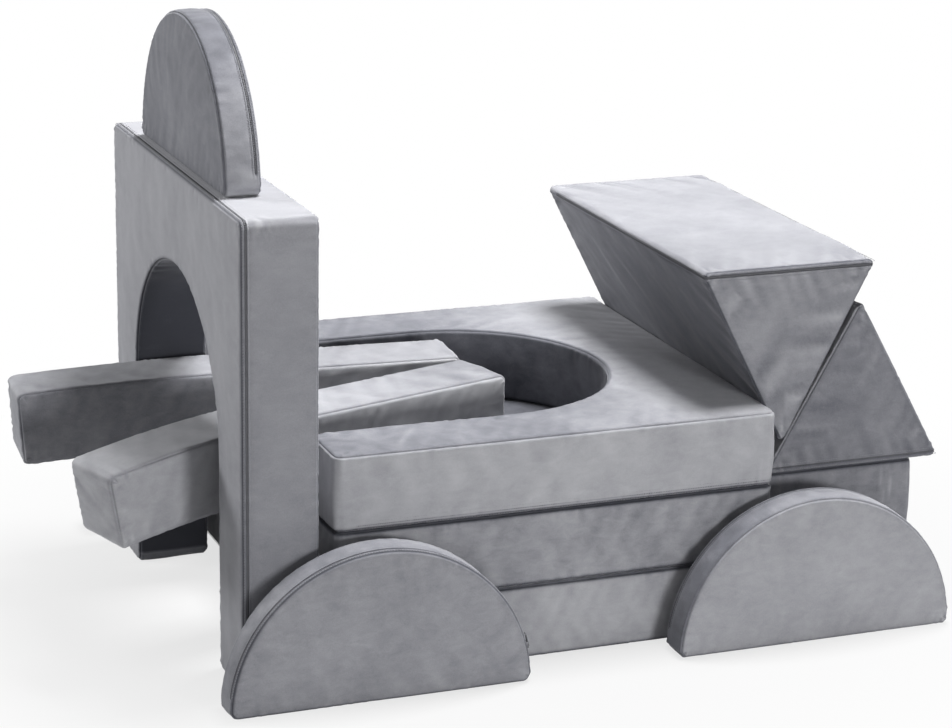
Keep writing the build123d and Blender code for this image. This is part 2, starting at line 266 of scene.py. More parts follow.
cushions = {cushion.name: cushion for cushion in (
    Cushion("lower_base", "panel", 101, free=(False, False), lies=(0.0, 0.25, 0.0),
            zip_open=0.3, loose=0.4),
    Cushion("upper_base", "panel", 211, free=(False, False), lies=(0.0, -0.10, -1.25), play=1.1,
            zip_open=0.3, loose=0.5),
    Cushion("seat_arch", "arch", 307, origin=(0.5, 0.5, 1.0), z_way=(0, 0, -1),
            free=(True, False), lies=(-0.75, 0.42, 0.0), ramps=[(-1, (3.0, 0.0, 0.0), 0.0)],
            zip_open=0.0, loose=0.35,
            folds=[((-0.27, 0.36, 0.0), (-0.21, 0.27, 0.0), 0.0016, 0.006)]),
    Cushion("standing_arch", "arch", 401, origin=(1.0, 0.5, 0.5), x_way=(0, 0, 1),
            z_way=(-1, 0, 0), lies=(0.0, -0.20, -0.10),
            side_lies=[((1.0, 0.0, 0.0), 0.22), ((0.0, -1.0, 0.0), -0.05)],
            ramps=[(0, (0.40, 0.0, 0.0), -1.0)], play=0.5, seam_tint=0.9, zip_open=1.0, loose=0.1,
            gathers=[((0.380, -0.375, 0.097), (0.25, 0.0, 1.0), 0.016, 0.0016, 0.026)]),
    Cushion("crest_half_disc", "disc", 503, origin=(0.0, 0.5, 0.0), x_way=(0, 1, 0),
            z_way=(1, 0, 0), lies=(-0.80, 0.10, -0.10), side_lies=[((0.0, 1.0, 0.0), -0.50)],
            ramps=[(0, (0.0, -3.4, 0.0), -1.0)], play=0.8, seam_tint=0.6, zip_open=1.0,
            gathers=[((0.225, 0.010, 0.012), (1.0, 0.3, 0.0), 0.015, 0.0007, 0.022),
                     ((-0.225, 0.010, 0.012), (1.0, -0.3, 0.0), 0.015, 0.0007, 0.022)]),
    Cushion("front_near_wheel", "disc", 564, **near_side, lies=(0.0, -0.50, -0.20), play=0.8,
            seam_tint=0.7, zip_open=1.0, loose=0.2),
    Cushion("rear_near_wheel", "disc", 625, **far_side, lies=(0.10, -0.50, 0.0),
            ramps=[(0, (-1.6, 0.0, 0.0), -0.6)], play=0.8, seam_tint=0.1, loose=0.2),
    Cushion("front_far_wheel", "disc", 686, **far_side),
    Cushion("rear_far_wheel", "disc", 747, **near_side),
    Cushion("near_beam", "near_beam", 907, lies=(0.90, -0.40, 0.0),
            side_lies=[((1.0, 0.0, 0.0), -0.45)],
            ramps=[(-1, (-1.5, 0.0, 0.0), -0.6), (0, (1.2, 0.0, 0.0), 0.0)], zip_open=0.0,
            loose=0.5, gathers=[((0.765, 0.008, 0.008), (1.0, 0.0, 0.4), 0.015, 0.0009, 0.020)]),
    Cushion("far_beam", "far_beam", 1009, lies=(1.20, -0.05, 0.0),
            side_lies=[((1.0, 0.0, 0.0), -0.30)], ramps=[(-1, (-3.2, 0.0, 0.0), -1.5)],
            zip_open=0.0, loose=0.5,
            gathers=[((0.755, 0.008, 0.008), (1.0, 0.0, 0.4), 0.015, 0.0008, 0.020)]),
    Cushion("lower_block", "block", 1103, free=(False, False), lies=(0.0, -0.15, 0.0)),
    Cushion("upper_block", "block", 1201, free=(False, False), lies=(0.0, -0.38, 0.0),
            folds=[((0.079, -0.328, 0.120), (0.087, -0.328, 0.045), 0.0022, 0.003),
                   ((0.093, -0.328, 0.120), (0.101, -0.328, 0.045), 0.0022, 0.003)]),
    Cushion("lower_prism", "lower_prism", 1303, lies=(-0.20, -0.30, -0.55),
            side_lies=[((1.0, 0.4, 0.0), -0.10), ((-1.0, 0.4, 0.0), 0.60)], play=0.6,
            seam_tint=-0.1, zip_open=0.3, loose=0.6,
            gathers=[((-0.150, 0.010, 0.650), (1.0, 0.6, 0.0), 0.015, 0.0011, 0.024),
                     ((0.0, 0.275, 0.650), (1.0, 0.2, 0.0), 0.015, 0.0009, 0.022)]),
    Cushion("upper_prism", "upper_prism", 1409, origin=(0.5, 0.5, 1.0), x_way=(-1, 0, 0),
            z_way=(0, 0, -1), lies=(0.0, 0.0, -0.25),
            side_lies=[((1.0, 0.4, 0.0), -0.75), ((0.0, -1.0, 0.0), -0.15)],
            ramps=[(0, (0.0, -0.8, -0.25), -1.0)], play=0.7, seam_tint=0.7, zip_open=1.0,
            loose=1.0,
            folds=[((0.120, 0.040, 0.12), (0.075, 0.150, 0.20), 0.0030, 0.010),
                   ((0.125, 0.035, 0.21), (0.080, 0.140, 0.31), 0.0030, 0.009),
                   ((0.130, 0.030, 0.33), (0.090, 0.110, 0.43), 0.0026, 0.008)],
            gathers=[((-0.150, 0.012, 0.650), (1.0, 0.6, 0.0), 0.015, 0.0011, 0.024),
                     ((0.150, 0.012, 0.650), (1.0, -0.6, 0.0), 0.015, 0.0011, 0.024),
                     ((0.0, 0.290, 0.650), (1.0, 0.2, 0.0), 0.015, 0.0009, 0.024)]),
)}


# Placing: a cushion's own frame in the stack

rest_gap = 2e-4  # metres between a cushion's velvet and what it rests on


def stand(origin, x_way, z_way):
    """The frame at origin with these X and Z directions."""
    x_way, z_way = Vector(x_way), Vector(z_way)
    place = Matrix((x_way, z_way.cross(x_way), z_way)).transposed().to_4x4()
    place.translation = origin
    return place


def laid_across(place, depth):
    """For an outline drawn upright in X and Z, and raised along -Y from half its depth."""
    return place @ Matrix(((1, 0, 0, 0), (0, 0, -1, depth / 2), (0, 1, 0, 0), (0, 0, 0, 1)))


def moved(points, matrix):
    matrix = np.array(matrix)
    return points @ matrix[:3, :3].T + matrix[:3, 3]


def beam_place(kind):
    """A beam's frame, the length of it that lies on the base, and its bend's radius."""
    sizes = settings().sizes
    end, yaw, droop = (getattr(settings().beams, kind.replace("beam", part))
                       for part in ("end", "yaw", "droop"))
    straight = (end[0] + sizes.panel_side / 2) / math.cos(yaw)
    straight += sizes.beam_width / 2 * math.tan(abs(yaw))
    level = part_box("upper_base_cover")[1][2]
    way = (-math.cos(yaw), -math.sin(yaw), 0)
    place = laid_across(stand((end[0], end[1], level), way, (0, 0, 1)), sizes.beam_width)
    return place, straight, (getattr(sizes, kind + "_length") - straight) ** 2 / (2 * droop)


def drooped(points, straight, radius):
    """Bends a beam down past the length that is held up."""
    middle = settings().sizes.thickness / 2
    past = np.maximum(points[:, 0] - straight, 0)
    free = past > 0
    angle, reach = past[free] / radius, radius + points[free, 1] - middle
    bent = points.copy()
    bent[free, 0] = straight + reach * np.sin(angle)
    bent[free, 1] = middle - radius + reach * np.cos(angle)
    return bent


def put_in_stack(points, cushion):
    """From a cushion's own frame to the stack, and never into what it rests on."""
    if cushion.family == "beam":
        return moved(drooped(points, *beam_place(cushion.kind)[1:]), cushion.place())
    points = moved(points, cushion.place())
    if cushion.name != "upper_prism":
        low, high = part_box(cushion.name + "_cover")
        held = cushion.family in ("panel", "block") or cushion.name == "standing_arch"
        top = high[2] - rest_gap if held else np.inf
        points[:, 2] = np.clip(points[:, 2], low[2] + rest_gap, top)
    return points


# Outlines: closed runs of lines and arcs in a plane, counter-clockwise

# Radii of the corners of each kind of outline, and the largest radius that counts as a corner
corner_radii = {"panel": 0.016, "block": 0.016, "arch": 0.016, "disc": 0.014, "prism": 0.008,
                "beam": 0.013}
largest_corner = 0.03
# Spacing of points round a corner and along a zip's path, in metres
corner_step, path_step = 0.0024, 0.005
# The shortest part that a crossing level may cut off a straight piece, and what counts as level
shortest_part, level_rise = 0.04, 1e-7


def line_run(start, end):
    return "line", np.array(start, float), np.array(end, float)


def arc_run(centre, radius, first, last):
    return "arc", np.array(centre, float), radius, first, last


def rounded_runs(points, radius, closed=True):
    """Lines through points with an arc at each corner; an open chain keeps its two ends."""
    points = [np.array(p, float) for p in points]
    count = len(points)
    arcs = {}
    for i in range(count) if closed else range(1, count - 1):
        before, after = unit(points[i - 1] - points[i]), unit(points[(i + 1) % count] - points[i])
        half = math.acos(before @ after) / 2
        centre = points[i] + unit(before + after) * radius / math.sin(half)
        start, end = (points[i] + way * radius / math.tan(half) for way in (before, after))
        first, last = (math.atan2(*(point - centre)[::-1]) for point in (start, end))
        sweep = (last - first + math.pi) % (2 * math.pi) - math.pi
        arcs[i] = start, end, arc_run(centre, radius, first, first + sweep)
    runs = []
    for i in range(count if closed else count - 1):
        j = (i + 1) % count
        runs.append(line_run(arcs[i][1] if i in arcs else points[i],
                             arcs[j][0] if j in arcs else points[j]))
        if j in arcs:
            runs.append(arcs[j][2])
    return runs


def sample_runs(runs, step, closed=True):
    """Points about step apart, which of them start a straight piece, and where corners are.

    An open chain ends with a line.
    """
    points, straight, corners, travelled = [], [], [], 0.0
    for kind, *run in runs:
        if kind == "line":
            start, end = run
            span = np.linalg.norm(end - start)
            count = max(1, round(span / step))
            points.append(start + (end - start) * (np.arange(count)[:, None] / count))
        else:
            centre, radius, first, last = run
            span = abs(last - first) * radius
            corner = radius < largest_corner
            count = max(4, round(span / (min(step, corner_step) if corner else step)))
            angles = first + (last - first) * np.arange(count) / count
            points.append(centre + radius * np.stack([np.cos(angles), np.sin(angles)], 1))
            if corner:
                corners.append(travelled + span / 2)
        straight += [kind == "line"] * count
        travelled += span
    if not closed:
        points.append(runs[-1][2][None, :])
    return np.concatenate(points), straight, np.array(corners)


def rectangle_runs(low, high, radius):
    return rounded_runs([low, (high[0], low[1]), high, (low[0], high[1])], radius)


def arch_runs(side, radius, height, corner):
    """The arch panel's outline, its feet towards -U."""
    half = side / 2
    centre = height - radius - half
    chain = [(centre, -radius), (-half, -radius), (-half, -half), (half, -half),
             (half, half), (-half, half), (-half, radius), (centre, radius)]
    runs = rounded_runs(chain, corner, closed=False)
    return runs + [arc_run((centre, 0), radius, math.pi / 2, -math.pi / 2)]


def half_disc_runs(radius, corner):
    """A half disc's outline, its base along U and its crown towards +V."""
    reach = math.sqrt((radius - corner) ** 2 - corner ** 2)
    tilt = math.atan2(corner, reach)
    return [
        line_run((-reach, 0), (reach, 0)),
        arc_run((reach, corner), corner, -math.pi / 2, tilt),
        arc_run((0, 0), radius, tilt, math.pi - tilt),
        arc_run((-reach, corner), corner, math.pi - tilt, 1.5 * math.pi),
    ]


def cross_levels(points, straight, levels):
    """Adds a point wherever a straight piece of the outline crosses one of the V levels."""
    result = []
    for here, there, plain in zip(points, np.roll(points, -1, axis=0), straight):
        result.append(here)
        rise = there[1] - here[1]
        if plain and abs(rise) > level_rise:
            parts = sorted((level - here[1]) / rise for level in levels)
            result += [here + (there - here) * part for part in parts
                       if shortest_part < part < 1 - shortest_part]
    return np.array(result)


# Skins

core_step = 0.032  # spacing of the foam cores' mesh
# Offsets from a zip's middle where the mesh has a row, in metres
zip_rows = np.array([-6.9, -6.1, -5.4, -4.7, -3.9, -3.1, -2.5, -2.0, -1.5, -0.8, 0.0,
                     0.8, 1.5, 2.0, 2.5, 3.1, 3.9, 4.7, 5.4, 6.1, 6.9, 8.2]) * 0.001
row_margin = 8e-4
# How far a face's points stay inside its rim: shares of the step and of the way to the rim
rim_step, rim_way = 0.55, 0.6
# Angles round a seam's rounding, where the boxing is 0 and the face 90 degrees
seam_angles = np.radians([90, 80, 70, 61, 54, 49, 45, 41, 36, 29, 20, 10, 0])


def graded(low, high, step, centre=None):
    """Values from low to high about step apart, with the zip's rows round centre."""
    if centre is None:
        return np.linspace(low, high, max(2, round((high - low) / step) + 1))
    rows = centre + zip_rows
    rows = rows[(rows > low + row_margin) & (rows < high - row_margin)]
    parts = [np.linspace(start, end, max(1, round((end - start) / step)) + 1)
             for start, end in ((low, rows[0]), (rows[-1], high))]
    return np.unique(np.round(np.concatenate([rows] + parts), 6))


class Surface:
    """A cushion's skin in its own frame: an outline in U and V, raised along W.

    Zone 0 is the boxing with its roundings, -1 the low face and 1 the high face. Each point
    has its travel along the outline and its gap to the low and to the high seam in metres,
    where 1 means out of reach.
    """

    def __init__(self, runs, depth, seam_round, draw_in, step, zip_across, zip_level):
        self.depth, self.seam_round, self.draw_in, self.step = depth, seam_round, draw_in, step
        outline, straight, self.corners = sample_runs(runs, step)
        if zip_across == "V":
            outline = cross_levels(outline, straight, zip_level + zip_rows)
        ahead = np.roll(outline, -1, axis=0)
        tangent = ahead - np.roll(outline, 1, axis=0)
        tangent /= np.linalg.norm(tangent, axis=1)[:, None]
        stretch = np.linalg.norm(ahead - outline, axis=1)
        self.outline, self.outward = outline, np.stack([tangent[:, 1], -tangent[:, 0]], 1)
        self.along = np.concatenate([[0], np.cumsum(stretch)[:-1]])
        self.perimeter = stretch.sum()
        self.quarter = seam_round * math.pi / 4
        self._sides(zip_level if zip_across == "W" else None)
        self._faces(zip_level if zip_across == "V" else None)

    def _sides(self, zip_level):
        radius, depth, turn = self.seam_round, self.depth, seam_angles
        wall = graded(radius, depth - radius, self.step, zip_level)[1:-1]
        flat, far = np.zeros(len(wall)), np.ones(len(turn))
        inset, rise = radius * (1 - np.cos(turn)), radius * (1 - np.sin(turn))
        gap = np.abs(turn - math.pi / 4) * radius
        inset = np.concatenate([inset, flat, inset[::-1]])
        level = np.concatenate([rise, wall, depth - rise[::-1]])
        lean = np.concatenate([-turn, flat, turn[::-1]])[:, None, None]
        low_gap = np.concatenate([gap, self.quarter + wall - radius, far])
        high_gap = np.concatenate([far, self.quarter + depth - radius - wall, gap[::-1]])
        inset += self.draw_in * ((level - depth / 2) / (depth / 2)) ** 2
        count, rows = len(self.outline), len(level)
        plan = self.outline[None] - self.outward[None] * inset[:, None, None]
        w = np.broadcast_to(level[:, None, None], (rows, count, 1))
        self.points = np.concatenate([plan, w], 2).reshape(-1, 3)
        side = np.broadcast_to(self.outward[None], (rows, count, 2)) * np.cos(lean)
        up = np.broadcast_to(np.sin(lean), (rows, count, 1))
        self.normals = np.concatenate([side, up], 2).reshape(-1, 3)
        self.low_gap, self.high_gap = np.repeat(low_gap, count), np.repeat(high_gap, count)
        self.travel = np.tile(self.along, rows)
        self.zone = np.zeros(rows * count, int)
        here = np.arange(rows * count).reshape(rows, count)
        there = np.roll(here, -1, axis=1)
        quads = np.stack([here[:-1], there[:-1], there[1:], here[1:]], 2)
        self.faces = quads.reshape(-1, 4).tolist()
        self.rims = here[0], here[-1]

    def _faces(self, zip_level):
        rim = self.points[self.rims[0]][:, :2]
        low, high = rim.min(0), rim.max(0)
        across = graded(low[0], high[0], self.step)[1:-1]
        up = graded(low[1], high[1], self.step, zip_level)[1:-1]
        grid = np.array([(u, v) for v in up for u in across])
        tree = kdtree.KDTree(len(rim))
        for index, (u, v) in enumerate(rim):
            tree.insert((u, v, 0), index)
        tree.balance()
        found = [tree.find((u, v, 0))[1:] for u, v in grid]
        near, gap = (np.array(part) for part in zip(*found))
        inward = -((grid - rim[near]) * self.outward[near]).sum(1)
        keep = (inward > rim_step * self.step) & (inward > rim_way * gap)
        grid, near, gap = grid[keep], near[keep], gap[keep]
        sites = [Vector(p) for p in np.concatenate([rim, grid])]
        cut = delaunay_2d_cdt(sites, [], [list(range(len(rim)))], 1, 1e-7)
        if len(cut[0]) != len(sites):
            raise RuntimeError("the face's outline crosses itself")
        order = [origin[0] for origin in cut[3]]
        count = len(grid)
        for zone, rim_ids, w in ((-1, self.rims[0], 0.0), (1, self.rims[1], self.depth)):
            lookup = np.concatenate([rim_ids, len(self.points) + np.arange(count)])
            low_gap, high_gap = (gap + self.quarter, np.ones(count))[::-zone]
            for label, more in (("points", np.column_stack([grid, np.full(count, w)])),
                                ("normals", np.tile([0, 0, zone], (count, 1))),
                                ("low_gap", low_gap), ("high_gap", high_gap),
                                ("travel", self.along[near]),
                                ("zone", np.full(count, zone))):
                setattr(self, label, np.concatenate([getattr(self, label), more]))
            for triangle in cut[2]:
                a, b, c = (lookup[order[k]] for k in triangle)
                self.faces.append([a, b, c] if zone > 0 else [a, c, b])

    def corner_gap(self):
        """Distance along the outline to the nearest corner."""
        gap = np.abs(self.travel[:, None] - self.corners[None])
        return np.minimum(gap, self.perimeter - gap).min(1)


def prism_section(kind):
    return getattr(settings().sizes, kind + "_base"), getattr(settings().sizes, kind + "_height")


@cache
def cushion_surface(kind, coarse=False):
    """The skin of one kind of cushion, made once and shared by its like."""
    sizes, seams, zips = settings().sizes, settings().seams, settings().zips
    family = kind.split("_")[-1]
    corner = corner_radii[family]
    depth, seam_round, draw_in = sizes.thickness, seams.panel_round, 0.0
    zip_across, zip_level = "W", zips.offset
    if family in ("panel", "block"):
        draw_in = seams.draw_in
        half = np.array([sizes.panel_side, sizes.panel_side] if family == "panel" else
                        [sizes.block_width, sizes.block_length]) / 2
        runs = rectangle_runs(-half, half, corner)
    elif family == "arch":
        runs = arch_runs(sizes.panel_side, sizes.opening_radius, sizes.opening_height, corner)
        zip_level = depth - zips.offset
    elif family == "disc":
        depth, seam_round = sizes.disc_thickness, seams.disc_round
        runs = half_disc_runs(sizes.disc_radius, corner)
        zip_level = depth - zips.offset
    elif family == "prism":
        base, height = prism_section(kind)
        depth, seam_round, zip_across = sizes.prism_length, seams.prism_round, "V"
        runs = rounded_runs([(-base / 2, 0), (base / 2, 0), (0, height)], corner)
    else:
        runs = rectangle_runs((0.0, 0.0), (getattr(sizes, kind + "_length"), depth), corner)
        depth, zip_across = sizes.beam_width, "V"
    if coarse:
        return Surface(runs, depth, seam_round, draw_in, core_step, None, None)
    return Surface(runs, depth, seam_round, draw_in, sizes.mesh_step, zip_across, zip_level)


# The covers' relief: how far each point stands out, and the painted light and shade on its pile

# The stuffing's hills: their size in metres, and their share of the slackness
hills = ((0.11, 1.0), (0.034, 0.45), (0.012, 0.16))
boxing_swell = 0.35  # of a free face's crown
# Metres along a seam from one swell of the puckers to the next, and where they start beside it
swell_pitch, pucker_start = 0.16, 0.0032
# Size of the bends in the ridges of gathers
gather_bends = 0.02
# The ridge beside a seam: its middle from the seam, and its width
ridge_offset, ridge_width = 0.0036, 0.0017
# Widths of a zip's lips and of its topstitching, and how softly its band ends
lip_width, stitch_width, band_edge = 0.0013, 0.0008, 0.002
# Painted light on puckers, folds and gathers, with painted shade in the puckers' and folds'
# hollows, and painted light on creases per metre of their height
pucker_painted_light, fold_painted_light, gather_painted_light, crease_painted_light = 0.10, 0.30, 0.35, 240
# How dark and how wide the painted shade beside a seam is, and the same for the painted shade where
# another cushion presses
seam_painted_shade, shade_width, contact_painted_shade, contact_shade_width = 0.25, 0.0050, 1.1, 0.0040
# The painted dark line of shade in a seam: its width, and its share of a cover's seam_tint by the
# low and high face
line_width, line_shares = 0.0018, (0.3, 1.0)
# Of a prism: how far its slopes lean at least, and where its zip ends above the foot
slope_lean, foot_margin = 0.3, 0.001


def unit(way):
    return np.array(way, float) / np.linalg.norm(way)


def bell(x, width):
    return np.exp(-(x / width) ** 2)


def unevenness(points, size, seed, waves=16):
    """A smooth random field with hills about size across, mostly within -1 to 1."""
    chance = np.random.default_rng(seed)
    total = np.zeros(len(points))
    for _ in range(waves):
        heading = unit(chance.normal(size=3))
        span = 2 * size * chance.uniform(0.7, 1.6)
        total += np.sin(points @ heading * (2 * math.pi / span) + chance.uniform(0, 2 * math.pi))
    return total / math.sqrt(waves)


def along_seam(travel, perimeter, pitch, seed, waves=14):
    """Random ripples along a closed seam, about pitch apart, mostly within -1 to 1."""
    chance = np.random.default_rng(seed)
    total = np.zeros(len(travel))
    for _ in range(waves):
        turns = max(1, round(perimeter / (pitch * chance.uniform(0.6, 2.2))))
        phase = 2 * math.pi * turns * travel / perimeter
        total += np.sin(phase + chance.uniform(0, 2 * math.pi))
    return total / math.sqrt(waves) * 1.3


def stuffing(cushion, surface, gap):
    """Free faces crown, the boxing swells between its seams, and no cover is quite even."""
    seams = settings().seams
    relief = np.zeros(len(gap))
    for side, free in zip((-1, 1), cushion.free):
        face = surface.zone == side
        relief[face] += seams.crown * free * (1 - np.exp(-(gap[face] / seams.crown_reach) ** 1.4))
    boxing = surface.zone == 0
    rise = np.clip(gap[boxing] * 2 / surface.depth, 0, 1) ** 0.8
    relief[boxing] += boxing_swell * seams.crown * rise
    uneven = sum(part * unevenness(surface.points, size, cushion.seed + number)
                 for number, (size, part) in enumerate(hills))
    return relief + seams.slackness * uneven * (1 - np.exp(-gap / seams.taut_reach))


def puckers_and_folds(cushion, surface):
    """Puckers run from the seams and gather at the corners; loose folds reach further. Their crests
    get painted highlights and their hollows painted shade.
    """
    seams = settings().seams
    relief, painted_light_and_shade = np.zeros((2, len(surface.zone)))
    corner = bell(surface.corner_gap(), seams.corner_reach)
    for number, seam_gap in enumerate((surface.low_gap, surface.high_gap)):
        for side in (-1, 0, 1):
            part = surface.zone == side
            travel, gap, at_corner = surface.travel[part], seam_gap[part], corner[part]
            seed = cushion.seed + 5 * number + side
            swell = along_seam(travel, surface.perimeter, swell_pitch, seed + 31)
            puckers = along_seam(travel, surface.perimeter, seams.pucker_pitch, seed + 11)
            puckers *= np.clip(0.55 + 0.5 * swell, 0.1, 1.4) + 1.1 * at_corner
            puckers *= np.exp(-gap / (seams.pucker_reach * (0.7 + 0.8 * at_corner)))
            puckers *= 1 - bell(gap, pucker_start)
            slanted = travel + 0.5 * gap
            folds = along_seam(slanted, surface.perimeter, seams.fold_pitch, seed + 51)
            folds *= cushion.loose * np.exp(-gap / seams.fold_reach)
            folds *= 1 - bell(gap, seams.taut_reach)
            relief[part] += seams.pucker_height * puckers + seams.fold_height * folds
            # Painted highlight on the crests of puckers and folds, painted shade in their hollows
            painted_light_and_shade[part] += pucker_painted_light * puckers + fold_painted_light * folds
    return relief, painted_light_and_shade


def creases_and_gathers(cushion, points):
    relief, painted_light_and_shade = np.zeros((2, len(points)))
    for start, end, height, width in cushion.folds:
        run = np.subtract(end, start)
        along = np.clip(((points - start) @ run) / (run @ run), 0, 1)
        distance = np.linalg.norm(points - start - along[:, None] * run, axis=1)
        swell = height * bell(distance, width) * np.sin(np.pi * np.clip(along, 0.08, 0.92))
        relief += swell
        # Painted highlight along a crease
        painted_light_and_shade += crease_painted_light * swell
    for centre, across_ridges, pitch, height, reach in cushion.gathers:
        from_centre = points - np.array(centre)
        swell = bell(np.linalg.norm(from_centre, axis=1), reach)
        bent = 1.3 * unevenness(points, gather_bends, cushion.seed + 71)
        ridges = np.cos(from_centre @ unit(across_ridges) * (2 * math.pi / pitch) + bent)
        relief += height * swell * ridges
        # Painted highlight on a gather's ridges, a little painted shade between them
        painted_light_and_shade += gather_painted_light * swell * (ridges + 0.5)
    return relief, painted_light_and_shade


def zip_runs_past(family, surface, u, v):
    """Whether the zip of a panel, block, arch or half disc runs past these outline points."""
    sizes, hinge = settings().sizes, settings().zips.hinge
    if family == "arch":
        half = sizes.panel_side / 2
        rim = (half - sizes.opening_radius) / 2
        return ((np.abs(v) > half - rim) | (u > half - rim)) & (u > hinge - half)
    return v > surface.outline[:, 1].min() + hinge


def zip_band(cushion, surface):
    """Signed distance from the zip's middle and whether the zip is there, per point."""
    zips, family = settings().zips, cushion.family
    u, v, w = surface.points.T
    if family == "prism":
        present = (surface.zone == 1) | (w > surface.depth / 2)
        present |= np.abs(surface.normals[:, 0]) > slope_lean
        present &= (w > zips.hinge) & (surface.zone >= 0) & (v > foot_margin)
        return v - zips.offset, present
    if family == "beam":
        straight = beam_place(cushion.kind)[1]
        held = (u > zips.hinge) & (u < straight - zips.hinge)
        return v - zips.offset, held & (surface.zone == 1)
    present = zip_runs_past(family, surface, u, v) & (surface.zone == 0)
    return w - zip_height(family, surface), present


def zip_height(family, surface):
    """The zip's W on a boxing: by the low face of panels and blocks, else by the high face."""
    offset = settings().zips.offset
    return offset if family in ("panel", "block") else surface.depth - offset


def sewn_zip(cushion, surface, relief, painted_light_and_shade):
    """A slot between folded lips with painted shade in it, topstitched on both sides, in a band
    that is calmer.
    """
    zips, opened = settings().zips, cushion.zip_open
    across, present = zip_band(cushion, surface)
    off = np.abs(across)
    band = present * (off < zips.band)
    calm = band * np.clip((zips.band - off) / band_edge, 0, 1)
    slot = np.exp(-(across / (zips.slot_width / 2 * (0.45 + 0.55 * opened))) ** 4)
    lips = zips.lip_height * bell(off - zips.lip_offset, lip_width)
    lips -= zips.stitch_dip * bell(off - zips.stitch_offset, stitch_width)
    profile = (0.15 + 0.85 * opened) * lips - zips.slot_depth * (0.25 + 0.75 * opened) * slot
    # The slot gets painted shade, darker when the lips stand further apart
    return relief * (1 - 0.75 * calm) + profile * band, painted_light_and_shade - (0.5 + 0.9 * opened) * band * slot


def cover_relief(cushion, surface):
    """How far each point stands out along its normal in metres, and the painted light and shade on
    the pile there.
    """
    seams, gaps = settings().seams, (surface.low_gap, surface.high_gap)
    relief = stuffing(cushion, surface, np.minimum(*gaps))
    painted_light_and_shade = np.zeros(len(relief))
    for more, painted in (puckers_and_folds(cushion, surface),
                      creases_and_gathers(cushion, surface.points)):
        relief += more
        painted_light_and_shade += painted
    # The seam line with the allowance's soft ridge on both sides
    for seam_gap in gaps:
        relief -= seams.seam_depth * bell(seam_gap, seams.seam_width)
        relief += seams.seam_ridge * bell(seam_gap - ridge_offset, ridge_width)
    relief, painted_light_and_shade = sewn_zip(cushion, surface, relief, painted_light_and_shade)
    # Painted shade beside every seam and a painted dark line in it; where cushions touch, a face
    # can't stand out, and more painted shade darkens its seam
    for side, free, seam_gap, line in zip((-1, 1), cushion.free, gaps, line_shares):
        painted_light_and_shade -= seam_painted_shade * bell(seam_gap, shade_width)
        painted_light_and_shade -= cushion.seam_tint * line * bell(seam_gap, line_width)
        if not free:
            face = surface.zone == side
            relief[face] = np.minimum(relief[face], 0.0)
            painted_light_and_shade -= contact_painted_shade * bell(seam_gap, contact_shade_width)
    return relief, painted_light_and_shade


# Sewing

# How much painted shade darkens the pile inside an arch's opening, and how far that stays from the
# outer edges
opening_painted_shade, opening_margin, feet_margin = 1.45, 0.05, 0.02


def put(name, data, location=(0, 0, 0), turn=(0, 0, 0)):
    """A new object in the scene."""
    piece = bpy.data.objects.new(name, data)
    bpy.context.scene.collection.objects.link(piece)
    piece.location, piece.rotation_euler = location, turn
    return piece


def mesh_piece(name, points, faces, material):
    mesh = bpy.data.meshes.new(name)
    mesh.from_pydata(points.tolist(), [], faces)
    mesh.polygons.foreach_set("use_smooth", np.ones(len(mesh.polygons), bool))
    mesh.materials.append(material)
    mesh.update()
    return put(name, mesh)


def lay_pile_and_painted_light(cover, cushion, surface, painted_light_and_shade):
    """Writes the pile's tone with its painted light and shade as an attribute, turning over
    smoothly at the seams.
    """
    points, lean, zone = surface.points, surface.normals[:, 2], surface.zone
    # Each face's tone and its ramps: the pile's own tone with painted light and shade
    low, middle, high = lies = [np.full(len(zone), lie_and_painted_light) for lie_and_painted_light in cushion.lies]
    for ramped, rise, least in cushion.ramps:
        lies[ramped + 1] += np.maximum(points @ np.array(rise), least)
    lie_and_painted_light = np.choose(zone + 1, lies)
    edge = zone == 0
    lie_and_painted_light[edge] += ((low - middle) * np.clip(-lean, 0, 1) ** 2
                  + (high - middle) * np.clip(lean, 0, 1) ** 2)[edge]
    # Painted shade on the walls inside an arch's opening
    if cushion.family == "arch":
        half = settings().sizes.panel_side / 2
        inner = edge & (np.abs(points[:, 1]) < half - opening_margin)
        inner &= (points[:, 0] < half - opening_margin) & (points[:, 0] > feet_margin - half)
        lie_and_painted_light[inner] -= opening_painted_shade * (1 - np.abs(lean[inner])) ** 0.5
    # Painted light and shade on sides that face one way
    for way, change in cushion.side_lies:
        lie_and_painted_light[edge] += change * np.clip(surface.normals[edge] @ unit(way), 0, 1) ** 4
    play = np.full(len(lie_and_painted_light), cushion.play)
    for label, values in (("pile_lie", lie_and_painted_light + painted_light_and_shade), ("pile_play", play)):
        layer = cover.data.attributes.new(label, "FLOAT", "POINT")
        layer.data.foreach_set("value", values.astype(np.float32))


def sew_cushion(name):
    """The velvet cover and the foam core of one cushion."""
    cushion = cushions[name]
    surface = cushion_surface(cushion.kind)
    relief, painted_light_and_shade = cover_relief(cushion, surface)
    points = surface.points + surface.normals * relief[:, None]
    if cushion.family == "beam":
        held = points[:, 0] < beam_place(cushion.kind)[1]
        points[held, 1] = np.maximum(points[held, 1], rest_gap)
    cover = mesh_piece(name + "_velvet", put_in_stack(points, cushion), surface.faces, velvet())
    lay_pile_and_painted_light(cover, cushion, surface, painted_light_and_shade)
    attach(cover, name)
    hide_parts(name + "_cover")

    surface = cushion_surface(cushion.kind, coarse=True)
    points = surface.points - surface.normals * settings().sizes.core_inset
    core = mesh_piece(name + "_core", put_in_stack(points, cushion), surface.faces, foam())
    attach(core, name)
    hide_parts(name + "_foam")


def sewn(*names):
    for name in names:
        sew_cushion(name)
    return {"FINISHED"}


# Nodes


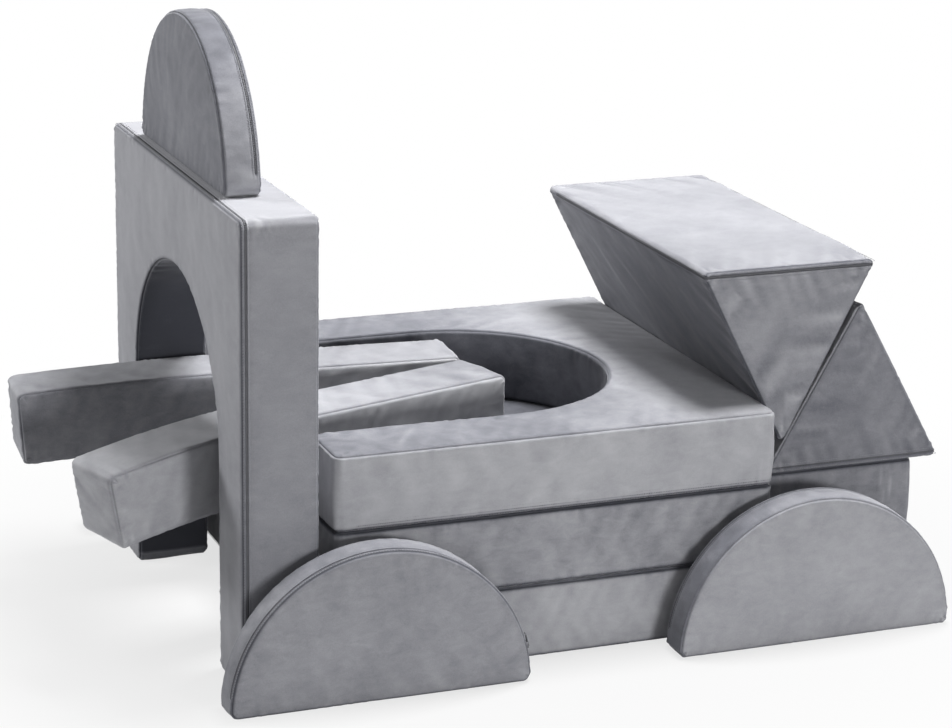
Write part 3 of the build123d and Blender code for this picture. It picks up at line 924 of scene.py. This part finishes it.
class Wire:
    """A node's value; arithmetic on it adds Math nodes."""

    def __init__(self, make, socket):
        self.make, self.socket = make, socket

    def _math(self, operation, *values):
        return self.make.node("ShaderNodeMath", {"operation": operation}, dict(enumerate(values)))

    def __add__(self, other):
        return self._math("ADD", self, other)

    def __sub__(self, other):
        return self._math("SUBTRACT", self, other)

    def __rsub__(self, other):
        return self._math("SUBTRACT", other, self)

    def __mul__(self, other):
        return self._math("MULTIPLY", self, other)

    __radd__, __rmul__ = __add__, __mul__

    def held(self):
        """Between 0 and 1."""
        return self.make.node("ShaderNodeClamp", {}, {0: self})


class Nodes:
    """The nodes of a material, a world or a geometry tree, all added by one method."""

    def __init__(self, owner):
        self.owner = owner
        if not isinstance(owner, bpy.types.NodeTree):
            owner.use_nodes = True
        self.tree = owner if isinstance(owner, bpy.types.NodeTree) else owner.node_tree
        self.tree.nodes.clear()

    def node(self, kind, changes=None, values=None, output=0):
        """A node of this kind: its settings, then its sockets. A list links several to one."""
        made = self.tree.nodes.new(kind)
        for key, value in (changes or {}).items():
            if key == "stops":
                ramp = made.color_ramp.elements
                while len(ramp) < len(value):
                    ramp.new(0.5)
                for element, (position, tone) in zip(ramp, value):
                    element.position, element.color = position, (*tone[:3], 1.0)
            else:
                setattr(made, key, value)
        for key, value in (values or {}).items():
            socket = made.inputs[key]
            if isinstance(value, (Wire, list)):
                for wire in [value] if isinstance(value, Wire) else value:
                    self.tree.links.new(wire.socket, socket)
            elif socket.type == "RGBA":
                socket.default_value = (*value[:3], 1.0)
            else:
                socket.default_value = value
        return Wire(self, made.outputs[output]) if made.outputs else None

    def place(self, stretch=(1.0, 1.0, 1.0)):
        """Object coordinates, stretched."""
        coordinates = self.node("ShaderNodeTexCoord", output="Object")
        return self.node("ShaderNodeMapping", {}, {"Vector": coordinates, "Scale": stretch})

    def noise(self, size, detail=2.0, rough=0.5, warp=0.0, stretch=(1.0, 1.0, 1.0)):
        """Noise whose patches are about size metres across."""
        return self.node("ShaderNodeTexNoise", {"noise_dimensions": "3D"}, {
            "Vector": self.place(stretch), "Scale": 1.0 / size, "Detail": detail,
            "Roughness": rough, "Distortion": warp})

    def bump(self, strength, distance, height):
        return self.node("ShaderNodeBump", {}, {
            "Strength": strength, "Distance": distance, "Height": height})

    def shade(self, blend, tone, times):
        """From a colour to that many times the colour."""
        return self.node("ShaderNodeMix", {"data_type": "RGBA"},
                         {0: blend, 6: tone, 7: tuple(times * c for c in tone)}, output=2)

    def seen(self):
        """1 for what the camera or a reflection sees, 0 for light on other things."""
        camera, glossy = (self.node("ShaderNodeLightPath", output=f"Is {ray} Ray")
                          for ray in ("Camera", "Glossy"))
        return (camera + glossy).held()

    def finished(self, surface, kind="Material"):
        self.node("ShaderNodeOutput" + kind, {}, {"Surface": surface})
        return self.owner

    def coat(self, **values):
        """A finished material; a value's name has _ for each space of its socket's name."""
        values = {key.replace("_", " "): value for key, value in values.items()}
        return self.finished(self.node("ShaderNodeBsdfPrincipled", {}, values))


def new_finish(name):
    return Nodes(bpy.data.materials.new(name))


@cache
def velvet():
    """Short-piled velvet with blotches where the pile is laid one way or the other, darkened and
    lightened by each cover's painted light and shade.
    """
    look, make = settings().velvet, new_finish("grey_velvet")
    blotch = make.noise(0.110, 3.0, 0.55, 0.5)
    streak = make.noise(0.017, 4.0, 0.62, 0.5, (0.70, 0.70, 1.25))
    grain = make.noise(0.0018, 2.0, 0.6)
    crease = make.noise(0.024, 4.0, 0.55, 1.0)
    # pile_play sets how strongly the pile blotches; the other attribute is the pile's tone with
    # painted light and shade
    play, own = (make.node("ShaderNodeAttribute", {"attribute_name": label}, output="Fac")
                 for label in ("pile_play", "pile_lie"))
    lie_and_painted_light = ((blotch - 0.5) * 1.0 + (streak - 0.5) * 0.8) * play + (grain - 0.5) * 0.45 + own
    # The ramp runs from painted deep shade through darker pile and pile to lighter pile, so it
    # shows both the blotches and the painted light and shade
    pile = make.node("ShaderNodeValToRGB", {"stops": (
        (0.0, look.pile_deep), (1 / 3, look.pile_dark), (2 / 3, look.pile),
        (1.0, look.pile_light))}, {0: (lie_and_painted_light + 1.6) * (1 / 2.4)})
    return make.coat(
        Base_Color=pile, Roughness=0.72 + (streak - 0.5) * 0.18,
        Normal=make.bump(0.30, 0.0010, crease * 0.8 + grain * 0.4), Specular_IOR_Level=0.25,
        Sheen_Weight=look.sheen, Sheen_Roughness=0.38, Sheen_Tint=(0.90, 0.91, 0.95))


@cache
def foam():
    """Cut open-cell foam."""
    make = new_finish("cut_foam")
    cells = make.node("ShaderNodeTexVoronoi", {"feature": "F1"},
                      {"Vector": make.place(), "Scale": 700.0})
    blend = (cells * 0.6 + (make.noise(0.06) - 0.5) * 0.4).held()
    return make.coat(Base_Color=make.shade(blend, settings().velvet.foam, 0.8), Roughness=0.92,
                     Normal=make.bump(0.5, 0.0008, cells))


@cache
def coil():
    """Nylon coil and woven tape of a zip."""
    make = new_finish("zip_coil")
    wear = make.noise(0.004)
    return make.coat(Base_Color=make.shade(wear, settings().velvet.coil, 1.7),
                     Roughness=0.42 + wear * 0.2,
                     Normal=make.bump(0.4, 0.0004, make.noise(0.0009, 1.0)))


@cache
def thread():
    """Twisted sewing thread."""
    make = new_finish("sewing_thread")
    twist = make.noise(0.0010, 1.0)
    return make.coat(Base_Color=make.shade(twist, settings().velvet.thread, 1.5), Roughness=0.6)


@cache
def slider_enamel():
    """Enamelled zip slider, worn a little along its faces."""
    make = new_finish("zip_slider_enamel")
    wear = make.noise(0.003, 3.0, 0.6)
    worn = make.shade((wear * 1.6 - 0.5).held(), settings().velvet.slider, 1.8)
    return make.coat(Base_Color=worn, Metallic=0.6, Roughness=0.34 + wear * 0.2,
                     Normal=make.bump(0.2, 0.0003, wear))


# Geometry node trees for what repeats along a zip

tape_thickness, tape_step = 0.0009, 0.006


class Tree(Nodes):
    """A geometry node tree with named inputs."""

    socket_kinds = {"Geometry": "NodeSocketGeometry", "Material": "NodeSocketMaterial",
                    "Seed": "NodeSocketInt"}

    def __init__(self, name, **numbers):
        super().__init__(bpy.data.node_groups.new(name, "GeometryNodeTree"))
        self.tree.is_modifier = True
        self.numbers, self.identifiers = numbers, {}
        for label in ("Geometry", *numbers, "Material"):
            kind = self.socket_kinds.get(label, "NodeSocketFloat")
            socket = self.tree.interface.new_socket(
                label.replace("_", " "), in_out="INPUT", socket_type=kind)
            if label in numbers:
                socket.default_value = numbers[label]
            self.identifiers[label] = socket.identifier
        self.tree.interface.new_socket("Geometry", in_out="OUTPUT",
                                       socket_type="NodeSocketGeometry")

    def given(self, label):
        return self.node("NodeGroupInput", output=label)

    def path(self):
        return self.node("GeometryNodeMeshToCurve", {}, {"Mesh": self.given("Geometry")})

    def evenly(self, curve, step):
        return self.node("GeometryNodeResampleCurve", {"mode": "LENGTH"},
                         {"Curve": curve, "Length": step})

    def turned_along(self):
        """Rotation with X along the curve and Z square to the zip's plane."""
        first = self.node("FunctionNodeAlignRotationToVector", {"axis": "X"},
                          {"Vector": self.node("GeometryNodeInputTangent")})
        return self.node("FunctionNodeAlignRotationToVector", {"axis": "Z", "pivot_axis": "X"},
                         {"Rotation": first, "Vector": (0.0, 0.0, 1.0)})

    def rod(self, sides, radius, depth):
        return self.node("GeometryNodeMeshCylinder", {},
                         {"Vertices": sides, "Radius": radius, "Depth": depth}, output="Mesh")

    def copies(self, points, instance, rotation):
        return self.node("GeometryNodeInstanceOnPoints", {}, {
            "Points": points, "Instance": instance, "Rotation": rotation})

    def grown(self, geometry):
        whole = self.node("GeometryNodeRealizeInstances", {}, {"Geometry": geometry})
        coated = self.node("GeometryNodeSetMaterial", {}, {
            "Geometry": whole, "Material": self.given("Material")})
        self.node("NodeGroupOutput", {}, {0: coated})
        return self


def zip_chain_tree():
    """Coil turns on a narrow tape, along the zip's path."""
    zips = settings().zips
    tree = Tree("Zip chain", Tooth_Pitch=zips.tooth_pitch, Tooth_Width=zips.tooth_width,
                Tape_Width=zips.tape_width)
    path, pitch = tree.path(), tree.given("Tooth Pitch")
    turn = tree.rod(6, pitch * 0.36, tree.given("Tooth Width"))
    turns = tree.copies(tree.evenly(path, pitch), turn, tree.turned_along())
    level = tree.node("GeometryNodeSetCurveNormal", {"mode": "Z_UP"}, {"Curve": path})
    strip = tree.node("GeometryNodeCurvePrimitiveQuadrilateral", {}, {
        "Width": tape_thickness, "Height": tree.given("Tape Width")})
    tape = tree.node("GeometryNodeCurveToMesh", {}, {
        "Curve": tree.evenly(level, tape_step), "Profile Curve": strip, "Fill Caps": True})
    return tree.grown(tree.node("GeometryNodeJoinGeometry", {}, {"Geometry": [tape, turns]}))


def topstitch_tree():
    """Short thread stitches in a row, each turned a little at random."""
    zips = settings().zips
    tree = Tree("Topstitch", Stitch_Pitch=zips.stitch_pitch, Stitch_Length=zips.stitch_length,
                Thread=zips.thread, Seed=zips.seed)
    stitch = tree.rod(5, tree.given("Thread") * 0.5, tree.given("Stitch Length"))
    lying = tree.node("GeometryNodeTransform", {}, {
        "Geometry": stitch, "Rotation": (0.0, math.pi / 2, 0.0)})
    wobble = tree.node("FunctionNodeRandomValue", {"data_type": "FLOAT_VECTOR"}, {
        0: (0.0, -0.05, -0.12), 1: (0.0, 0.05, 0.12), "Seed": tree.given("Seed")})
    way = tree.node("FunctionNodeRotateRotation", {"rotation_space": "LOCAL"}, {
        "Rotation": tree.turned_along(), "Rotate By": wobble})
    points = tree.evenly(tree.path(), tree.given("Stitch Pitch"))
    return tree.grown(tree.copies(points, lying, way))


def grow_along(name, rows, tree, material, matrix):
    """Runs a tree on path rows drawn in the XY plane, and puts the mesh in its place."""
    mesh = bpy.data.meshes.new(name)
    points, edges = [], []
    for row in rows:
        edges += [(len(points) + k, len(points) + k + 1) for k in range(len(row) - 1)]
        points += row.tolist()
    mesh.from_pydata(points, edges, [])
    piece = put(name, mesh)
    modifier = piece.modifiers.new(name, "NODES")
    modifier.node_group = tree.tree
    for label, value in {**tree.numbers, "Material": material}.items():
        modifier[tree.identifiers[label]] = value
    depsgraph = bpy.context.evaluated_depsgraph_get()
    grown = bpy.data.meshes.new_from_object(piece.evaluated_get(depsgraph))
    if not len(grown.polygons):
        raise RuntimeError(name + " came out empty")
    piece.modifiers.clear()
    piece.data = grown
    bpy.data.meshes.remove(mesh)
    places = np.empty(len(grown.vertices) * 3)
    grown.vertices.foreach_get("co", places)
    grown.vertices.foreach_set("co", moved(places.reshape(-1, 3), matrix).ravel())
    grown.polygons.foreach_set("use_smooth", np.ones(len(grown.polygons), bool))
    grown.update()
    return piece


# Zips

upright_turn = Matrix(((1, 0, 0, 0), (0, 0, 1, 0), (0, -1, 0, 0), (0, 0, 0, 1)))
# How deep the chain lies, as a share of the slot's depth, and the topstitches, in metres
chain_sink, stitch_sink = 0.55, 0.0004


def zip_paths(cushion):
    """The zip's line as rows of points in its own plane, and that plane's place.

    Each row is asked for by its offset across the zip and its lift off the cover.
    """
    zips, family = settings().zips, cushion.family
    surface = cushion_surface(cushion.kind)

    def at_level(plan, level):
        return np.column_stack([plan, np.full(len(plan), level)])

    def boxing_row(offset, lift):
        level = zip_height(family, surface) + offset
        on = zip_runs_past(family, surface, *surface.outline.T)
        order = np.roll(np.arange(len(on)), -int(np.argmin(on)) if on[0] else 0)
        run = order[on[order]]
        drawn = surface.draw_in * ((level - surface.depth / 2) / (surface.depth / 2)) ** 2
        return at_level(surface.outline[run] + surface.outward[run] * (lift - drawn), level)

    def prism_row(offset, lift):
        level = zips.offset + offset
        base, height = prism_section(cushion.kind)
        reach = base / 2 - level * base / 2 / height + lift
        deep = surface.depth + lift
        chain = [(reach, -zips.hinge), (reach, -deep), (-reach, -deep), (-reach, -zips.hinge)]
        runs = rounded_runs(chain, settings().seams.prism_round + lift, closed=False)
        return at_level(sample_runs(runs, path_step, closed=False)[0], level)

    def beam_row(offset, lift):
        u = np.arange(zips.hinge, beam_place(cushion.kind)[1] - zips.hinge, path_step)
        plan = np.column_stack([u, np.full(len(u), -surface.depth - lift)])
        return at_level(plan, zips.offset + offset)

    if family in ("prism", "beam"):
        return (prism_row if family == "prism" else beam_row), cushion.place() @ upright_turn
    return boxing_row, cushion.place()


def fit_zip(name, chain_tree, stitch_tree):
    """The zip chain in its slot, and the two rows of topstitching beside it."""
    zips = settings().zips
    row, plane = zip_paths(cushions[name])
    rows = [row(0.0, -chain_sink * zips.slot_depth)]
    chain = grow_along(name + "_coil", rows, chain_tree, coil(), plane)
    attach(chain, name)
    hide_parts(name + "_zip")
    rows = [row(side * zips.stitch_offset, -stitch_sink) for side in (-1, 1)]
    stitches = grow_along(name + "_topstitch", rows, stitch_tree, thread(), plane)
    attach(stitches, name)


# Operators


class PLAYSOFA_OT_panels(bpy.types.Operator):
    """Sew the two square base cushions"""

    bl_idname = "playsofa.panels"
    bl_label = "Base Cushions"

    def execute(self, context):
        return sewn("lower_base", "upper_base")


class PLAYSOFA_OT_arches(bpy.types.Operator):
    """Sew the seat arch and the standing arch"""

    bl_idname = "playsofa.arches"
    bl_label = "Arches"

    def execute(self, context):
        return sewn("seat_arch", "standing_arch")


class PLAYSOFA_OT_half_discs(bpy.types.Operator):
    """Sew the crest and the four wheels"""

    bl_idname = "playsofa.half_discs"
    bl_label = "Half Discs"

    def execute(self, context):
        return sewn("crest_half_disc", "front_near_wheel", "rear_near_wheel", "front_far_wheel",
                    "rear_far_wheel")


class PLAYSOFA_OT_beams(bpy.types.Operator):
    """Sew the two beams through the arch"""

    bl_idname = "playsofa.beams"
    bl_label = "Beams"

    def execute(self, context):
        return sewn("near_beam", "far_beam")


class PLAYSOFA_OT_blocks(bpy.types.Operator):
    """Sew the two blocks behind the base"""

    bl_idname = "playsofa.blocks"
    bl_label = "Blocks"

    def execute(self, context):
        return sewn("lower_block", "upper_block")


class PLAYSOFA_OT_prisms(bpy.types.Operator):
    """Sew the two prisms"""

    bl_idname = "playsofa.prisms"
    bl_label = "Prisms"

    def execute(self, context):
        return sewn("lower_prism", "upper_prism")


class PLAYSOFA_OT_zips(bpy.types.Operator):
    """Fit zip chains, topstitching and sliders"""

    bl_idname = "playsofa.zips"
    bl_label = "Zips"

    def execute(self, context):
        chain_tree, stitch_tree = zip_chain_tree(), topstitch_tree()
        for name in cushions:
            fit_zip(name, chain_tree, stitch_tree)
            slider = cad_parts[name + "_zip_slider"]
            if not slider.material_slots:
                slider.data.materials.append(None)
            for slot in slider.material_slots:
                slot.material = slider_enamel()
        return {"FINISHED"}


class PLAYSOFA_OT_stage(bpy.types.Operator):
    """Set the floor, the lamps and the camera"""

    bl_idname = "playsofa.stage"
    bl_label = "Stage"

    def execute(self, context):
        look, scene, white = settings().stage, context.scene, (1.0, 1.0, 1.0)
        make = new_finish("pale_floor")
        lit = make.node("ShaderNodeBsdfPrincipled", {}, {
            "Base Color": make.shade(make.noise(0.4), look.floor, 1.03), "Roughness": 0.9})
        glow = make.node("ShaderNodeEmission", {}, {"Color": white, "Strength": 1.0})
        away = make.node("ShaderNodeVectorMath", {"operation": "LENGTH"},
                         {0: make.place((0.85, 1.0, 1.0))}, output="Value")
        open_floor = make.node("ShaderNodeMapRange", {"interpolation_type": "SMOOTHSTEP"}, {
            "Value": away, "From Min": 0.35, "From Max": 1.25, "To Min": look.floor_white,
            "To Max": 1.0})
        plain = make.node("ShaderNodeMixShader", {}, {0: make.seen() * open_floor, 1: lit, 2: glow})
        corners = np.array([(-1, -1, 0), (1, -1, 0), (1, 1, 0), (-1, 1, 0)]) * look.floor_side / 2
        floor = mesh_piece("floor", corners, [(0, 1, 2, 3)], make.finished(plain))
        floor.location.z = -0.0005

        scene.world = bpy.data.worlds.new("studio")
        make = Nodes(scene.world)
        make.finished(make.node("ShaderNodeBackground", {}, {
            "Color": white, "Strength": make.seen() * (1.0 - look.sky) + look.sky}), "World")

        for name, place, target, size, power in (
            ("top_softbox", (0.6, 0.1, 3.5), (0.0, 0.0, 0.3), 1.0, look.top_light),
            ("front_softbox", (1.0, -4.9, 0.9), (0.0, 0.0, 0.3), 0.8, look.front_light),
            ("left_softbox", (-4.0, 2.0, 1.9), (0.0, 0.0, 0.4), 1.2, look.left_light),
        ):
            lamp = bpy.data.lights.new(name, "AREA")
            lamp.shape, lamp.size, lamp.energy = "SQUARE", size, power
            turn = (Vector(target) - Vector(place)).to_track_quat("-Z", "Y").to_euler()
            put(name, lamp, place, turn)

        camera = bpy.data.cameras.new("camera")
        camera.sensor_width, camera.lens = 36.0, look.focal_length
        camera.clip_start, camera.clip_end = 0.1, 50.0
        scene.camera = put("camera", camera, look.camera_place, look.camera_turn)
        scene.view_settings.view_transform = "Standard"
        return {"FINISHED"}


class PlaySofaSettings(bpy.types.PropertyGroup):
    """All settings of the play sofa."""

    sizes: PointerProperty(type=CushionSizes)
    beams: PointerProperty(type=BeamPlaces)
    seams: PointerProperty(type=SeamLook)
    zips: PointerProperty(type=ZipLook)
    velvet: PointerProperty(type=VelvetLook)
    stage: PointerProperty(type=StageLook)


operators = (PLAYSOFA_OT_panels, PLAYSOFA_OT_arches, PLAYSOFA_OT_half_discs, PLAYSOFA_OT_beams,
             PLAYSOFA_OT_blocks, PLAYSOFA_OT_prisms, PLAYSOFA_OT_zips, PLAYSOFA_OT_stage)


class PLAYSOFA_PT_sidebar(bpy.types.Panel):
    """Lists the play sofa's steps and settings"""

    bl_idname = "PLAYSOFA_PT_sidebar"
    bl_label = "Play Sofa"
    bl_space_type = "VIEW_3D"
    bl_region_type = "UI"
    bl_category = "Play Sofa"

    def draw(self, context):
        for operator in operators:
            self.layout.operator(operator.bl_idname)
        for group in ("sizes", "beams", "seams", "zips", "velvet", "stage"):
            part = getattr(context.scene.play_sofa, group)
            box = self.layout.box()
            box.label(text=group.capitalize())
            for name in part.bl_rna.properties.keys():
                if name not in ("rna_type", "name"):
                    box.prop(part, name)


classes = (CushionSizes, BeamPlaces, SeamLook, ZipLook, VelvetLook, StageLook,
           PlaySofaSettings) + operators + (PLAYSOFA_PT_sidebar,)


def register():
    for cls in classes:
        bpy.utils.register_class(cls)
    bpy.types.Scene.play_sofa = PointerProperty(type=PlaySofaSettings)


def unregister():
    del bpy.types.Scene.play_sofa
    for cls in reversed(classes):
        bpy.utils.unregister_class(cls)


def main():
    register()
    bpy.ops.playsofa.stage()
    bpy.ops.playsofa.panels()
    bpy.ops.playsofa.arches()
    bpy.ops.playsofa.half_discs()
    bpy.ops.playsofa.beams()
    bpy.ops.playsofa.blocks()
    bpy.ops.playsofa.prisms()
    bpy.ops.playsofa.zips()


if __name__ == "__main__":
    main()
